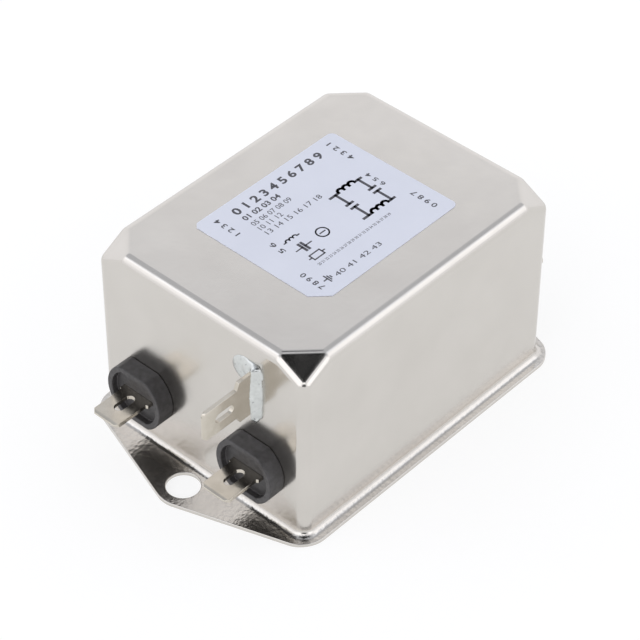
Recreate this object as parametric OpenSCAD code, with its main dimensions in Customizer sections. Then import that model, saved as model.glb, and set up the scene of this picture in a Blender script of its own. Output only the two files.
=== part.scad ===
// Two-stage line filter in a drawn steel can with two mounting ears.
// The origin is midway between the mounting holes, on the mounting face.
// +X runs from the line end to the load end, +Z points away from the mounting face.

/* [Can] */
// Length of the can over its end walls
can_length = 65; // [62:0.5:70]
// Width of the can over its side walls
can_width = 49.5; // [48:0.5:56]
// Height of the can above the mounting face
can_height = 40.4; // [39.5:0.1:48]
// Thickness of the can's sheet steel
sheet = 0.8; // [0.6:0.1:1]
// Outer radius of the can's edges
edge_radius = 2; // [1.6:0.1:2.4]
// Length of each corner facet along the top edges
facet_run = 7.75; // [6:0.25:9]
// Drop of each corner facet down the upright edge
facet_drop = 4.1; // [3:0.1:5]

/* [Flange] */
// Width of the flange beside the long walls
side_flange = 2.25; // [2.25:0.05:4]
// Width of the flange beyond the end walls, at its corners
end_flange = 2.85; // [2.5:0.05:3.5]
// Radius of the flange's four corners
flange_corner = 5.5; // [4:0.25:7]
// Radius of the bend between the walls and the flange
bend_radius = 1.35; // [1:0.05:1.5]
// Distance between the centres of the two mounting holes
hole_spacing = 75; // [74:0.5:78]
// Diameter of the mounting holes
hole_d = 6.3; // [4.5:0.1:6.5]
// Radius of the ear round each mounting hole
ear_radius = 5; // [4.5:0.1:5.5]

/* [Base] */
// Thickness of the base plate
base_sheet = 0.6; // [0.5:0.1:1]
// Height of the base plate's upturned rim
base_rim = 5; // [4:0.25:6]
// Gap between the base plate's rim and the can
base_gap = 0.05; // [0.02:0.01:0.1]
// Thickness of the insulating sheet that lies on the base plate
liner_thickness = 0.4; // [0.25:0.05:0.6]
// Gap round the insulating sheet
liner_gap = 0.5; // [0.2:0.1:1]
// Radius of the insulating sheet's corners
liner_corner = 1; // [0.5:0.5:3]
// Thickness of the circuit board
board_thickness = 1.6; // [1.2:0.1:2]
// Gap between the circuit board and the can
board_gap = 0.3; // [0.1:0.05:0.5]

/* [Terminals] */
// Distance between the two blades of one end
terminal_pitch = 27; // [26:0.25:29]
// Height of the blades' middle above the mounting face
terminal_height = 12.3; // [12:0.1:14]
// Half width of a collar
collar_radius = 6.55; // [6:0.05:7]
// Distance from a collar's middle to its flat top and bottom
collar_flat = 5.7; // [5.2:0.05:6]
// Depth of a collar in front of the wall
collar_depth = 3.5; // [2.5:0.1:5]
// Thickness of the rim round a collar's recess
collar_rim = 1.15; // [0.8:0.05:1.5]
// Depth of a collar's recess
recess_depth = 1.3; // [0.8:0.1:2]
// Gap between a collar's neck and the edge of its opening
neck_gap = 0.1; // [0.05:0.01:0.2]
// Length of a collar's neck behind the wall
neck_length = 1.6; // [1:0.1:2]
// Height of the catches behind the wall
catch_height = 0.5; // [0.3:0.1:0.8]
// Width of the blades
blade_width = 6.3; // [4.8:0.1:6.3]
// Thickness of the blades
blade_thickness = 0.8; // [0.5:0.1:0.8]
// Distance from the wall to the tip of a line or load blade
blade_reach = 10.75; // [9:0.25:13]
// Width of a blade's root in the collar
root_width = 7.1; // [6.6:0.1:7.6]
// Distance from the recess floor to a blade's shoulder
shoulder_depth = 1.1; // [0.8:0.1:2]
// Gap between a blade and its slot in the collar
slot_gap = 0.05; // [0.02:0.01:0.1]
// Inner radius of the blades' bend
blade_bend = 0.6; // [0.4:0.1:1]
// Distance from the wall's outer face to the inner face of a blade's tail
tail_inset = 4; // [3.9:0.1:4.3]
// Width of the pin at the end of a blade's tail
tail_pin = 2; // [1.6:0.1:3]
// Height of the sloping shoulders above the pin
tail_slope = 1; // [0.5:0.25:2]

/* [Blade tips] */
// Length of the bevels at a blade's tip
tip_bevel = 0.65; // [0.4:0.05:1]
// Thickness left at a blade's tip
tip_edge = 0.35; // [0.2:0.05:0.45]
// Size of the cut corners at a blade's tip
tip_corner = 0.7; // [0.4:0.05:1]
// Length of the oblong hole in a blade
slot_length = 4.4; // [3.5:0.1:5]
// Width of the oblong hole in a blade
slot_width = 1.9; // [1.2:0.1:2.2]
// Distance from a blade's tip to the middle of its oblong hole
slot_setback = 5.1; // [4.5:0.1:5.5]

/* [Earth tab] */
// Distance from the can's top down to the earth tab's middle
earth_drop = 10.6; // [10:0.1:12]
// Distance from the wall to the tip of the earth tab
earth_reach = 13; // [12:0.25:15]
// Height of the earth tab's root
earth_root = 9.1; // [8:0.1:10]
// Distance from the wall to the earth tab's shoulders
earth_shoulder = 4.3; // [3.5:0.1:5]
// Slant of the earth tab's shoulders along the tab
shoulder_slant = 0.6; // [0.3:0.1:1]
// Height of the tongue that passes through the wall
earth_tongue = 6.5; // [5:0.1:7]
// Length of the tongue behind the wall
earth_tail = 2; // [1:0.25:3]
// Gap between the tongue and its slit
slit_gap = 0.1; // [0.05:0.01:0.2]
// Spread of the solder over the wall, on the side away from the middle
solder_spread = 1.6; // [1.2:0.1:2.5]
// Spread of the solder over the wall, on the side near the middle
solder_flow = 5; // [3:0.1:5.5]
// Height of the solder up the tab
solder_climb = 2.2; // [1.5:0.1:2.5]
// Length of the long solder bead along the wall
solder_length = 12.2; // [10:0.2:13]
// Length of the short solder bead near the middle
solder_flow_length = 5.6; // [4:0.2:7]

/* [Label] */
// Length of the label
label_length = 36; // [30:0.5:40]
// Width of the label
label_width = 30.4; // [26:0.2:34]
// Thickness of the label
label_thickness = 0.12; // [0.08:0.01:0.2]
// Radius of three of the label's corners
label_radius = 1.5; // [0.5:0.1:3]
// Size of the label's cut corner
label_cut = 3; // [2:0.1:5]

/* [Chokes] */
// Outer diameter of a choke's core
core_od = 26; // [22:0.5:27]
// Inner diameter of a choke's core
core_bore = 15; // [13:0.5:16]
// Thickness of a choke's core along its axis
core_depth = 10.5; // [8:0.5:11]
// Radius of the core's coated edges
core_edge = 0.9; // [0.5:0.1:1.2]
// Distance between the two chokes
choke_pitch = 25; // [24.5:0.25:26]
// Diameter of the winding wire
wire_d = 1; // [0.8:0.05:1.05]
// Number of turns in each winding
turns = 12; // [8:1:13]
// Angle of the core that each winding covers
winding_angle = 126; // [100:2:130]
// Gap between the wire and the core
wire_gap = 0.08; // [0.04:0.01:0.15]
// Thickness of a choke holder's foot under the core
holder_foot = 2.4; // [1.5:0.1:3]
// Gap between a choke's holder and the windings
holder_gap = 0.2; // [0.1:0.05:0.4]
// Height of the cheeks, which keep the core upright
cheek_height = 3; // [2:0.25:4]
// Thickness of the cheeks
cheek_wall = 1.2; // [0.8:0.1:1.4]
// Thickness of the divider between the windings
divider_wall = 1.6; // [1:0.1:2.2]

/* [Capacitors and resistor] */
// Length of a line capacitor across the board
xcap_length = 18; // [15:0.5:19]
// Thickness of a line capacitor
xcap_depth = 6.5; // [5:0.5:7]
// Height of a line capacitor
xcap_height = 16; // [11:0.5:24]
// Distance from the middle to the outer line capacitors
xcap_offset = 24.6; // [24.4:0.1:25]
// Distance between a line capacitor's leads
xcap_leads = 15; // [12.5:0.5:15]
// Radius of a line capacitor's edges
xcap_edge = 0.8; // [0.4:0.1:1.2]
// Diameter of an earth capacitor's disc
ycap_d = 9; // [7:0.5:10]
// Thickness of an earth capacitor's disc
ycap_depth = 4; // [3:0.25:5]
// Distance from the middle to the earth capacitors
ycap_offset = 17; // [16.5:0.25:18]
// Distance between an earth capacitor's leads
ycap_leads = 7.5; // [5:0.5:8]
// Height of an earth capacitor's disc above the board
ycap_lift = 1.5; // [0.5:0.25:3]
// Diameter of the bleed resistor's body
resistor_d = 3.2; // [2.4:0.1:4]
// Length of the bleed resistor's body
resistor_length = 9; // [6:0.5:10]
// Distance from the middle to the bleed resistor
resistor_offset = 16.5; // [16:0.25:17.5]
// Gap between a blade's tail and the parts beside it
tail_gap = 1; // [0.5:0.1:1.5]
// Diameter of the components' leads
lead_d = 0.8; // [0.6:0.05:1]
// Length of the leads below the board
lead_stub = 1.4; // [1:0.1:2]
// Gap between a lead and its hole in the board
lead_gap = 0.1; // [0.05:0.01:0.2]

/* [Earth lead] */
// Diameter of the earth lead over its insulation
earth_lead_d = 1.8; // [1.4:0.1:2.2]

/* [Hidden] */

// Overlap of a cutter past the face that it cuts
cut = 1;
// Sink of an added form into the solid that it joins
sink = 0.2;
round_fn = 64;
blend_fn = 32;
arc_steps = 8;

half_length = can_length / 2;
tail_x = half_length - tail_inset + blade_thickness / 2;
beside_tail = tail_x - blade_thickness / 2 - tail_gap;
resistor_x = resistor_d / 2 - beside_tail;
lead_x = earth_lead_d / 2 - beside_tail;
half_width = can_width / 2;
inner_length = can_length - 2 * sheet;
inner_width = can_width - 2 * sheet;
inner_radius = edge_radius - sheet;
ear_x = hole_spacing / 2;
terminal_y = terminal_pitch / 2;
earth_height = can_height - earth_drop;
recess_floor = collar_depth - recess_depth;
board_bottom = base_rim;
board_top = board_bottom + board_thickness;
lead_bottom = board_bottom - lead_stub;
lead_hole_d = lead_d + 2 * lead_gap;
neck_rim = 0.9;
neck_radius = collar_radius - neck_rim;
neck_flat = collar_flat - neck_rim;
choke_x = choke_pitch / 2;
choke_z = board_top + holder_foot + core_od / 2;
core_mid = (core_od + core_bore) / 4;
wire_lift = wire_d / 2 + wire_gap;
winding_depth = core_depth / 2 + wire_lift;
winding_radial = (core_od - core_bore) / 4 + wire_lift;
// The wire ends drop to the board clear of the turns and the holder's cheeks
drop_depth = core_depth / 2 + wire_d / 2
    + max(cheek_wall + wire_gap, wire_d + 2 * wire_gap);
// The holder's cheeks end below the first turns
holder_width = 2 * ((core_od / 2 - cheek_height) / tan(winding_angle / 2)
    - wire_d / 2 / sin(winding_angle / 2) - holder_gap);

// Sideways step of the upper wire end past the lower one
lead_step = 1.5 * wire_d;

P_SIDE = 1;
N_SIDE = -1;
LINE_END = -1;
LOAD_END = 1;

// ---------- outlines ----------

function arc(centre, radius, from, to, steps = arc_steps) =
    [for (i = [0 : steps])
        let (a = from + (to - from) * i / steps)
        centre + radius * [cos(a), sin(a)]];

function flip(points) = [for (i = [len(points) - 1 : -1 : 0]) points[i]];

// Rectangle with rounded corners, centred on the origin
module rounded_rect(length, width, radius) {
    x = length / 2 - radius;
    y = width / 2 - radius;
    polygon(concat(
        arc([x, y], radius, 0, 90), arc([-x, y], radius, 90, 180),
        arc([-x, -y], radius, 180, 270), arc([x, -y], radius, 270, 360)));
}

// Circle with a flat top and bottom
module flatted_circle(radius, flat) {
    intersection() {
        circle(r = radius, $fn = round_fn);
        square([2 * radius + cut, 2 * flat], center = true);
    }
}

// Round-ended slot along X, centred on the origin
module oblong(length, width) {
    straight = length - width;
    square([straight, width], center = true);
    for (end = [-1, 1])
        translate([end * straight / 2, 0])
            circle(d = width, $fn = blend_fn);
}

// Puts a form that is drawn at the line end's +Y terminal on any of the four
module at_terminal(end, side) {
    mirror([end == LINE_END ? 0 : 1, 0, 0])
        translate([-half_length, side * terminal_y, terminal_height])
            children();
}

// ---------- can ----------

// Flange outline: an ear round each hole, straight flanks tangent to the
// ear and to the rounded corners, and straight long sides
module flange_outline() {
    corner = [
        half_length + end_flange - flange_corner,
        half_width + side_flange - flange_corner
    ];
    ear = [ear_x, 0];
    span = corner - ear;
    tangent = atan2(span[1], span[0])
        - acos((ear_radius - flange_corner) / norm(span));
    quarter = concat(
        arc(ear, ear_radius, 0, tangent),
        arc(corner, flange_corner, tangent, 90));
    top_left = [for (p = flip(quarter)) [-p[0], p[1]]];
    bottom_left = [for (p = quarter) [-p[0], -p[1]]];
    bottom_right = [for (p = flip(quarter)) [p[0], -p[1]]];
    polygon(concat(quarter, top_left, bottom_left, bottom_right));
}

// The can's rounded block. The inner and outer skins are spheres of different
// radius on the same centres, so the wall has one thickness all over.
module can_block(radius, bottom) {
    steepness = norm([1 / facet_run, 1 / facet_run, 1 / facet_drop]);
    inset = 1 + edge_radius * steepness;
    run = facet_run * (inset - edge_radius / facet_drop) - edge_radius;
    drop = facet_drop * (inset - 2 * edge_radius / facet_run);
    hull()
        for (sx = [-1, 1], sy = [-1, 1]) {
            for (p = [[edge_radius, run, edge_radius],
                      [run, edge_radius, edge_radius],
                      [edge_radius, edge_radius, drop]])
                translate([
                    sx * (half_length - p[0]),
                    sy * (half_width - p[1]),
                    can_height - p[2]
                ])
                    sphere(r = radius, $fn = blend_fn);
            translate([
                sx * (half_length - edge_radius),
                sy * (half_width - edge_radius),
                bottom
            ])
                cylinder(r = radius, h = sheet, $fn = blend_fn);
        }
}

// Sweeps a profile all round the can. The profile's X points outwards from
// the wall's outer face and its Y points up.
module round_the_walls() {
    straight_x = can_length - 2 * edge_radius;
    straight_y = can_width - 2 * edge_radius;
    for (turn = [0, 180]) {
        rotate(turn)
            translate([half_length, straight_y / 2, 0])
                rotate([90, 0, 0])
                    linear_extrude(straight_y) children();
        rotate(turn + 90)
            translate([half_width, straight_x / 2, 0])
                rotate([90, 0, 0])
                    linear_extrude(straight_x) children();
    }
    for (sx = [0, 1], sy = [0, 1])
        mirror([sx, 0, 0]) mirror([0, sy, 0])
            translate([straight_x / 2, straight_y / 2, 0])
                rotate_extrude(angle = 90, $fn = round_fn)
                    translate([edge_radius, 0]) children();
}

// Concave blend between the wall and the flange's upper face
module bend_profile() {
    centre = [bend_radius, sheet + bend_radius];
    polygon(concat(
        arc(centre, bend_radius, 180, 270),
        [[bend_radius, sheet - sink], [-sink, sheet - sink],
         [-sink, sheet + bend_radius]]));
}

// Waste that the same bend leaves round the can's mouth
module mouth_profile() {
    centre = [bend_radius, sheet + bend_radius];
    polygon(concat(
        arc(centre, bend_radius + sheet, 180, 270),
        [[bend_radius, -cut], [-sheet - sink, -cut],
         [-sheet - sink, sheet + bend_radius]]));
}

module collar_openings() {
    for (end = [LINE_END, LOAD_END], side = [P_SIDE, N_SIDE])
        at_terminal(end, side)
            translate([-cut, 0, 0])
                rotate([90, 0, 90])
                    linear_extrude(sheet + 2 * cut)
                        flatted_circle(neck_radius + neck_gap, neck_flat + neck_gap);
}

module earth_slit() {
    translate([-half_length + sheet / 2, -terminal_y, earth_height])
        cube([
            sheet + 2 * cut,
            blade_thickness + 2 * slit_gap,
            earth_tongue + 2 * slit_gap
        ], center = true);
}

// Drawn can and flange, one piece of sheet
module case() {
    color("silver")
        difference() {
            union() {
                can_block(edge_radius, 0);
                linear_extrude(sheet) flange_outline();
                round_the_walls() bend_profile();
            }
            can_block(inner_radius, -cut - sheet);
            round_the_walls() mouth_profile();
            for (side = [-1, 1])
                translate([side * ear_x, 0, -cut])
                    cylinder(d = hole_d, h = sheet + 2 * cut, $fn = round_fn);
            collar_openings();
            earth_slit();
        }
}

// ---------- base ----------

// Shallow pressed lid that closes the can's mouth and carries the board
module base_plate() {
    length = inner_length - 2 * base_gap;
    width = inner_width - 2 * base_gap;
    radius = inner_radius - base_gap;
    color("gainsboro")
        difference() {
            linear_extrude(base_rim) rounded_rect(length, width, radius);
            translate([0, 0, base_sheet])
                linear_extrude(base_rim)
                    rounded_rect(
                        length - 2 * base_sheet, width - 2 * base_sheet,
                        radius - base_sheet);
        }
}

module insulating_sheet() {
    margin = 2 * (base_gap + base_sheet + liner_gap);
    color("ivory")
        translate([0, 0, base_sheet])
            linear_extrude(liner_thickness)
                rounded_rect(inner_length - margin, inner_width - margin, liner_corner);
}

// ---------- terminals ----------

// Moulded collar: a flatted ring with a shallow recess, seated on the wall,
// with a neck through the wall and a catch behind it above and below
module collar(end, side) {
    color([0.2, 0.2, 0.21])
        at_terminal(end, side)
            difference() {
                union() {
                    rotate([90, 0, -90])
                        linear_extrude(collar_depth)
                            flatted_circle(collar_radius, collar_flat);
                    rotate([90, 0, 90])
                        linear_extrude(sheet + neck_length)
                            flatted_circle(neck_radius, neck_flat);
                    for (flip_z = [0, 1])
                        mirror([0, 0, flip_z]) collar_catch();
                }
                translate([-recess_floor, 0, 0])
                    rotate([90, 0, -90])
                        linear_extrude(recess_depth + cut)
                            flatted_circle(
                                collar_radius - collar_rim, collar_flat - collar_rim);
                cube([
                    2 * (collar_depth + sheet + neck_length),
                    root_width + 2 * slot_gap,
                    blade_thickness + 2 * slot_gap
                ], center = true);
            }
}

// Wedge behind the wall that holds the collar in its opening
module collar_catch() {
    catch_width = neck_radius;
    translate([sheet + neck_gap, catch_width / 2, neck_flat - sink])
        rotate([90, 0, 0])
            linear_extrude(catch_width)
                polygon([
                    [0, 0], [0, sink + neck_gap + catch_height],
                    [neck_length - neck_gap, sink], [neck_length - neck_gap, 0]
                ]);
}

// Tip profile of a blade along its length, seen edge on, tip at the origin
module tip_section(length) {
    polygon([
        [0, -tip_edge / 2], [tip_bevel, -blade_thickness / 2],
        [length, -blade_thickness / 2], [length, blade_thickness / 2],
        [tip_bevel, blade_thickness / 2], [0, tip_edge / 2]
    ]);
}

// Flat blank of a blade with its tip at the origin and its length along +X:
// blade, slanted shoulders at shoulder_x, then a root of root_w to length
module blade_blank(shoulder_x, slant, root_w, length) {
    half = blade_width / 2;
    right = [
        [0, half - tip_corner], [tip_corner, half], [shoulder_x - slant, half],
        [shoulder_x, root_w / 2], [length, root_w / 2]
    ];
    intersection() {
        translate([0, 0, -blade_thickness / 2])
            linear_extrude(blade_thickness)
                difference() {
                    polygon(concat(right, flip([for (p = right) [p[0], -p[1]]])));
                    translate([slot_setback, 0]) oblong(slot_length, slot_width);
                }
        translate([0, root_w, 0])
            rotate([90, 0, 0])
                linear_extrude(2 * root_w) tip_section(length);
    }
}

// Blade with its root in the collar, a bend inside the can and a tail whose
// pin passes through the board
module blade(end, side) {
    flat_end = tail_inset - blade_thickness - blade_bend;
    shoulder_x = blade_reach - recess_floor - shoulder_depth;
    tail_top = -blade_thickness / 2 - blade_bend;
    tail_foot = board_top - terminal_height;
    pin_foot = lead_bottom - terminal_height;
    color([0.78, 0.76, 0.72])
        at_terminal(end, side) {
            translate([-blade_reach, 0, 0])
                blade_blank(shoulder_x, 0, root_width, blade_reach + flat_end);
            translate([flat_end, root_width / 2, tail_top])
                rotate([90, 0, 0])
                    rotate_extrude(angle = 90, $fn = round_fn)
                        translate([blade_bend, 0])
                            square([blade_thickness, root_width]);
            translate([flat_end + blade_bend, 0, 0])
                rotate([90, 0, 90])
                    linear_extrude(blade_thickness)
                        polygon([
                            [-root_width / 2, tail_top], [-root_width / 2, tail_foot + tail_slope],
                            [-tail_pin / 2, tail_foot], [-tail_pin / 2, pin_foot],
                            [tail_pin / 2, pin_foot], [tail_pin / 2, tail_foot],
                            [root_width / 2, tail_foot + tail_slope], [root_width / 2, tail_top]
                        ]);
        }
}

// Upright blade with a tall root that stands on the end wall
module earth_tab() {
    color([0.72, 0.66, 0.56])
        translate([-half_length, -terminal_y, earth_height])
            rotate([90, 0, 0]) {
                translate([-earth_reach, 0, 0])
                    blade_blank(
                        earth_reach - earth_shoulder, shoulder_slant, earth_root, earth_reach);
                translate([-sink, -earth_tongue / 2, -blade_thickness / 2])
                    cube([sink + sheet + earth_tail, earth_tongue, blade_thickness]);
            }
}

// Solder in the corner between the tab and the wall: a concave fillet whose
// outline is a half ellipse on the wall and another one on the tab
module solder_bead(spread, length, middle) {
    fillet = [for (i = [0 : arc_steps])
        let (a = 90 * i / arc_steps)
        [-solder_climb * (1 - sin(a)), spread * (1 - cos(a))]];
    translate([0, blade_thickness / 2, middle])
        intersection() {
            translate([0, 0, -length / 2])
                linear_extrude(length) polygon(concat([[0, 0]], fillet));
            rotate([90, 0, 0])
                scale([2 * solder_climb / length, 1, 1])
                    cylinder(d = length, h = 3 * spread, center = true, $fn = round_fn);
            rotate([0, 90, 0])
                scale([1, 2 * spread / length, 1])
                    cylinder(d = length, h = 3 * solder_climb, center = true, $fn = round_fn);
        }
}

// Solder on both sides of the tab's root and over its upper end, most of it
// towards the middle of the wall
module earth_solder() {
    top = earth_root / 2;
    cap = (solder_spread + blade_thickness) / 2;
    color([0.8, 0.81, 0.83])
        translate([-half_length, -terminal_y, earth_height])
            difference() {
                union() {
                    mirror([0, 1, 0])
                        solder_bead(
                            solder_spread, solder_length, top - solder_length / 2 + sink);
                    solder_bead(
                        solder_flow, solder_flow_length,
                        top + cap - sink - solder_flow_length / 2);
                    translate([0, 0, top])
                        rotate([0, -90, 0])
                            cylinder(r1 = cap + sink, r2 = cap / 2, h = cap, $fn = blend_fn);
                }
                translate([-2 * cap, -blade_thickness / 2, -2 * top])
                    cube([2 * cap, blade_thickness, 3 * top]);
            }
}

// ---------- label ----------

module label() {
    x = label_length / 2;
    y = label_width / 2;
    r = label_radius;
    color([0.84, 0.86, 0.91])
        translate([0, 0, can_height])
            linear_extrude(label_thickness)
                polygon(concat(
                    arc([x - r, y - r], r, 0, 90), arc([r - x, y - r], r, 90, 180),
                    [[-x, label_cut - y], [label_cut - x, -y]],
                    arc([x - r, r - y], r, 270, 360)));
}

// ---------- chokes ----------

// Coated ring core, standing on edge with its axis along X
module choke_core(end) {
    radial = (core_od - core_bore) / 2;
    color([0.25, 0.4, 0.3])
        translate([end * choke_x, 0, choke_z])
            rotate([0, 90, 0])
                rotate_extrude($fn = round_fn)
                    translate([core_mid, 0])
                        rounded_rect(radial, core_depth, core_edge);
}

function unit(v) = v / norm(v);

// A tube of six sides along a path. Each ring is set out from the path's
// direction and a side vector that is never along it.
module tube(path, sides_to, diameter, sides = 6) {
    last = len(path) - 1;
    function along(i) = unit(path[min(i + 1, last)] - path[max(i - 1, 0)]);
    function ring(i) =
        let (u = unit(cross(along(i), sides_to[i])), v = cross(along(i), u))
        [for (k = [0 : sides - 1])
            path[i] + diameter / 2
                * (cos(360 * k / sides) * u + sin(360 * k / sides) * v)];
    points = [for (i = [0 : last]) each ring(i)];
    walls = [for (i = [0 : last - 1], k = [0 : sides - 1])
        let (n = (k + 1) % sides)
        [i * sides + k, i * sides + n, (i + 1) * sides + n, (i + 1) * sides + k]];
    start = [for (k = [sides - 1 : -1 : 0]) k];
    finish = [for (k = [0 : sides - 1]) last * sides + k];
    polyhedron(points = points, faces = concat(walls, [start, finish]));
}

// Half sides of the wire's trip round the core's section, and its cut corners.
// Every side touches a line that is wire_lift outside the rounded core.
corner_offset = (core_edge + wire_lift) * (1 - tan(22.5));
turn_long = winding_depth - corner_offset;
turn_short = winding_radial - corner_offset;
turn_corner = corner_offset * sqrt(2);

// Corners of one trip, as [depth, radial], and the share of the trip at each
turn_points = [
    [winding_depth, turn_short], [turn_long, winding_radial],
    [-turn_long, winding_radial], [-winding_depth, turn_short],
    [-winding_depth, -turn_short], [-turn_long, -winding_radial],
    [turn_long, -winding_radial], [winding_depth, -turn_short]
];
function turn_share(k) =
    let (corners = ceil(k / 2), longs = floor((k + 2) / 4), shorts = floor(k / 4))
    (corners * turn_corner + 2 * longs * turn_long + 2 * shorts * turn_short)
        / (4 * turn_corner + 4 * turn_long + 4 * turn_short);

// Point k of a turn, at an angle round the core
function winding_point(k, angle) =
    let (p = turn_points[k], r = core_mid + p[1])
    [p[0], r * cos(angle), r * sin(angle)];

// Helix of wire round half of the core, with both ends down through the board
module choke_winding(end, side) {
    function angle(turn, k) =
        winding_angle * ((turn + turn_share(k)) / turns - 1 / 2);
    coil = concat(
        [for (turn = [0 : turns - 1], k = [0 : 7]) winding_point(k, angle(turn, k))],
        [winding_point(0, angle(turns, 0))]);
    ways = concat(
        [for (turn = [0 : turns - 1], k = [0 : 7])
            [0, -sin(angle(turn, k)), cos(angle(turn, k))]],
        [[0, -sin(angle(turns, 0)), cos(angle(turns, 0))]]);
    last = len(coil) - 1;
    foot = lead_bottom - choke_z;
    low = coil[0];
    high = coil[last];
    low_lead = [[drop_depth, low[1], foot], [drop_depth, low[1], low[2] - wire_d]];
    high_lead = [[drop_depth, high[1] + lead_step, high[2] - wire_d],
                 [drop_depth, high[1] + lead_step, foot]];
    color([0.72, 0.4, 0.2])
        translate([end * choke_x, 0, choke_z])
            mirror([0, side == P_SIDE ? 0 : 1, 0])
                tube(
                    concat(low_lead, coil, high_lead),
                    concat([ways[0], ways[0]], ways, [ways[last], ways[last]]),
                    wire_d);
}

// Plate across the core's bore that keeps the two windings apart
module choke_divider(end) {
    height = sqrt(core_bore * core_bore - divider_wall * divider_wall);
    color([0.9, 0.88, 0.8])
        translate([end * choke_x, 0, choke_z])
            cube([core_depth, divider_wall, height], center = true);
}

// Moulded foot with a cradle for the core and a cheek at each face of it
module choke_holder(end) {
    depth = core_depth + 2 * cheek_wall;
    color([0.15, 0.15, 0.16])
        translate([end * choke_x, 0, choke_z])
            difference() {
                translate([-depth / 2, -holder_width / 2, board_top - choke_z])
                    cube([depth, holder_width, holder_foot + cheek_height]);
                rotate([0, 90, 0])
                    cylinder(d = core_od, h = core_depth, center = true, $fn = round_fn);
                rotate([0, 90, 0])
                    cylinder(
                        d = core_od - 2 * cheek_height, h = depth + cut,
                        center = true, $fn = round_fn);
            }
}

// ---------- board and components ----------

module lead(top) {
    translate([0, 0, lead_bottom])
        cylinder(d = lead_d, h = top - lead_bottom, $fn = blend_fn);
}

// Film capacitor in a moulded box
module x_capacitor(x) {
    color([0.95, 0.8, 0.3])
        translate([x, 0, 0]) {
            translate([0, 0, board_top])
                linear_extrude(xcap_height)
                    rounded_rect(xcap_depth, xcap_length, xcap_edge);
            for (side = [-1, 1])
                translate([0, side * xcap_leads / 2, 0]) lead(board_top);
        }
}

// Ceramic disc capacitor on edge
module y_capacitor(side) {
    middle = board_top + ycap_lift + ycap_d / 2;
    color([0.15, 0.35, 0.65])
        translate([0, side * ycap_offset, 0]) {
            translate([0, 0, middle])
                rotate([0, 90, 0])
                    cylinder(d = ycap_d, h = ycap_depth, center = true, $fn = round_fn);
            for (way = [-1, 1])
                translate([0, way * ycap_leads / 2, 0]) lead(middle);
        }
}

// Resistor that empties the line capacitor, lying across the board
module bleed_resistor() {
    middle = board_top + resistor_d / 2;
    half_pitch = resistor_length / 2 + lead_d;
    color([0.6, 0.75, 0.85])
        translate([resistor_x, resistor_offset, 0]) {
            translate([0, 0, middle])
                rotate([90, 0, 0]) {
                    cylinder(
                        d = resistor_d, h = resistor_length, center = true,
                        $fn = round_fn);
                    cylinder(
                        d = lead_d, h = 2 * half_pitch, center = true,
                        $fn = blend_fn);
                }
            for (way = [-1, 1])
                translate([0, way * half_pitch, 0]) lead(middle);
        }
}

// Insulated lead from the earth tab's tongue down to the board
module earth_lead() {
    start = [
        -half_length + sheet + slit_gap,
        -terminal_y - (blade_thickness + earth_lead_d) / 2,
        earth_height
    ];
    landing = [lead_x, -resistor_offset, board_top];
    bend = [[earth_tail, 0, 0], [3, -0.3, -0.6], [3.7, -0.8, -1.8],
            [4, -1.2, -4], [4.2, -1.3, -8]];
    drop = [[0, -1, 7], [0, -0.2, 4], [0, 0, 0]];
    path = concat(
        [start], [for (step = bend) start + step], [for (step = drop) landing + step],
        [[landing[0], landing[1], lead_bottom]]);
    color([0.3, 0.6, 0.2])
        tube(path, [for (p = path) [0, 1, 0]], earth_lead_d, 8);
}

function winding_holes() =
    [for (end = [LINE_END, LOAD_END], side = [P_SIDE, N_SIDE])
        let (low = winding_point(0, -winding_angle / 2),
             high = winding_point(0, winding_angle / 2))
        each [[end * choke_x + drop_depth, side * low[1]],
              [end * choke_x + drop_depth, side * (high[1] + lead_step)]]];

module circuit_board() {
    color([0.75, 0.6, 0.35])
        translate([0, 0, board_bottom])
            linear_extrude(board_thickness)
                difference() {
                    rounded_rect(
                        inner_length - 2 * board_gap, inner_width - 2 * board_gap,
                        inner_radius - board_gap);
                    for (x = [-xcap_offset, 0, xcap_offset], side = [-1, 1])
                        translate([x, side * xcap_leads / 2])
                            circle(d = lead_hole_d, $fn = blend_fn);
                    for (side = [-1, 1], way = [-1, 1])
                        translate([0, side * ycap_offset + way * ycap_leads / 2])
                            circle(d = lead_hole_d, $fn = blend_fn);
                    for (way = [-1, 1])
                        translate([
                            resistor_x,
                            resistor_offset + way * (resistor_length / 2 + lead_d)
                        ])
                            circle(d = lead_hole_d, $fn = blend_fn);
                    for (p = winding_holes())
                        translate(p)
                            circle(d = wire_d + 2 * lead_gap, $fn = blend_fn);
                    translate([lead_x, -resistor_offset])
                        circle(d = earth_lead_d + 2 * lead_gap, $fn = blend_fn);
                    for (end = [-1, 1], side = [-1, 1])
                        translate([end * tail_x, side * terminal_y])
                            square([
                                blade_thickness + 2 * lead_gap,
                                tail_pin + 2 * lead_gap
                            ], center = true);
                }
}

// ---------- pieces ----------

case();
base_plate();
insulating_sheet();
circuit_board();
collar(LINE_END, P_SIDE);  // collar_line_p
collar(LINE_END, N_SIDE);  // collar_line_n
collar(LOAD_END, P_SIDE);  // collar_load_p
collar(LOAD_END, N_SIDE);  // collar_load_n
blade(LINE_END, P_SIDE);  // blade_line_p
blade(LINE_END, N_SIDE);  // blade_line_n
blade(LOAD_END, P_SIDE);  // blade_load_p
blade(LOAD_END, N_SIDE);  // blade_load_n
earth_tab();
earth_solder();
label();
choke_core(LINE_END);  // choke_line_core
choke_winding(LINE_END, P_SIDE);  // choke_line_winding_p
choke_winding(LINE_END, N_SIDE);  // choke_line_winding_n
choke_divider(LINE_END);  // choke_line_divider
choke_holder(LINE_END);  // choke_line_holder
choke_core(LOAD_END);  // choke_load_core
choke_winding(LOAD_END, P_SIDE);  // choke_load_winding_p
choke_winding(LOAD_END, N_SIDE);  // choke_load_winding_n
choke_divider(LOAD_END);  // choke_load_divider
choke_holder(LOAD_END);  // choke_load_holder
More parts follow.
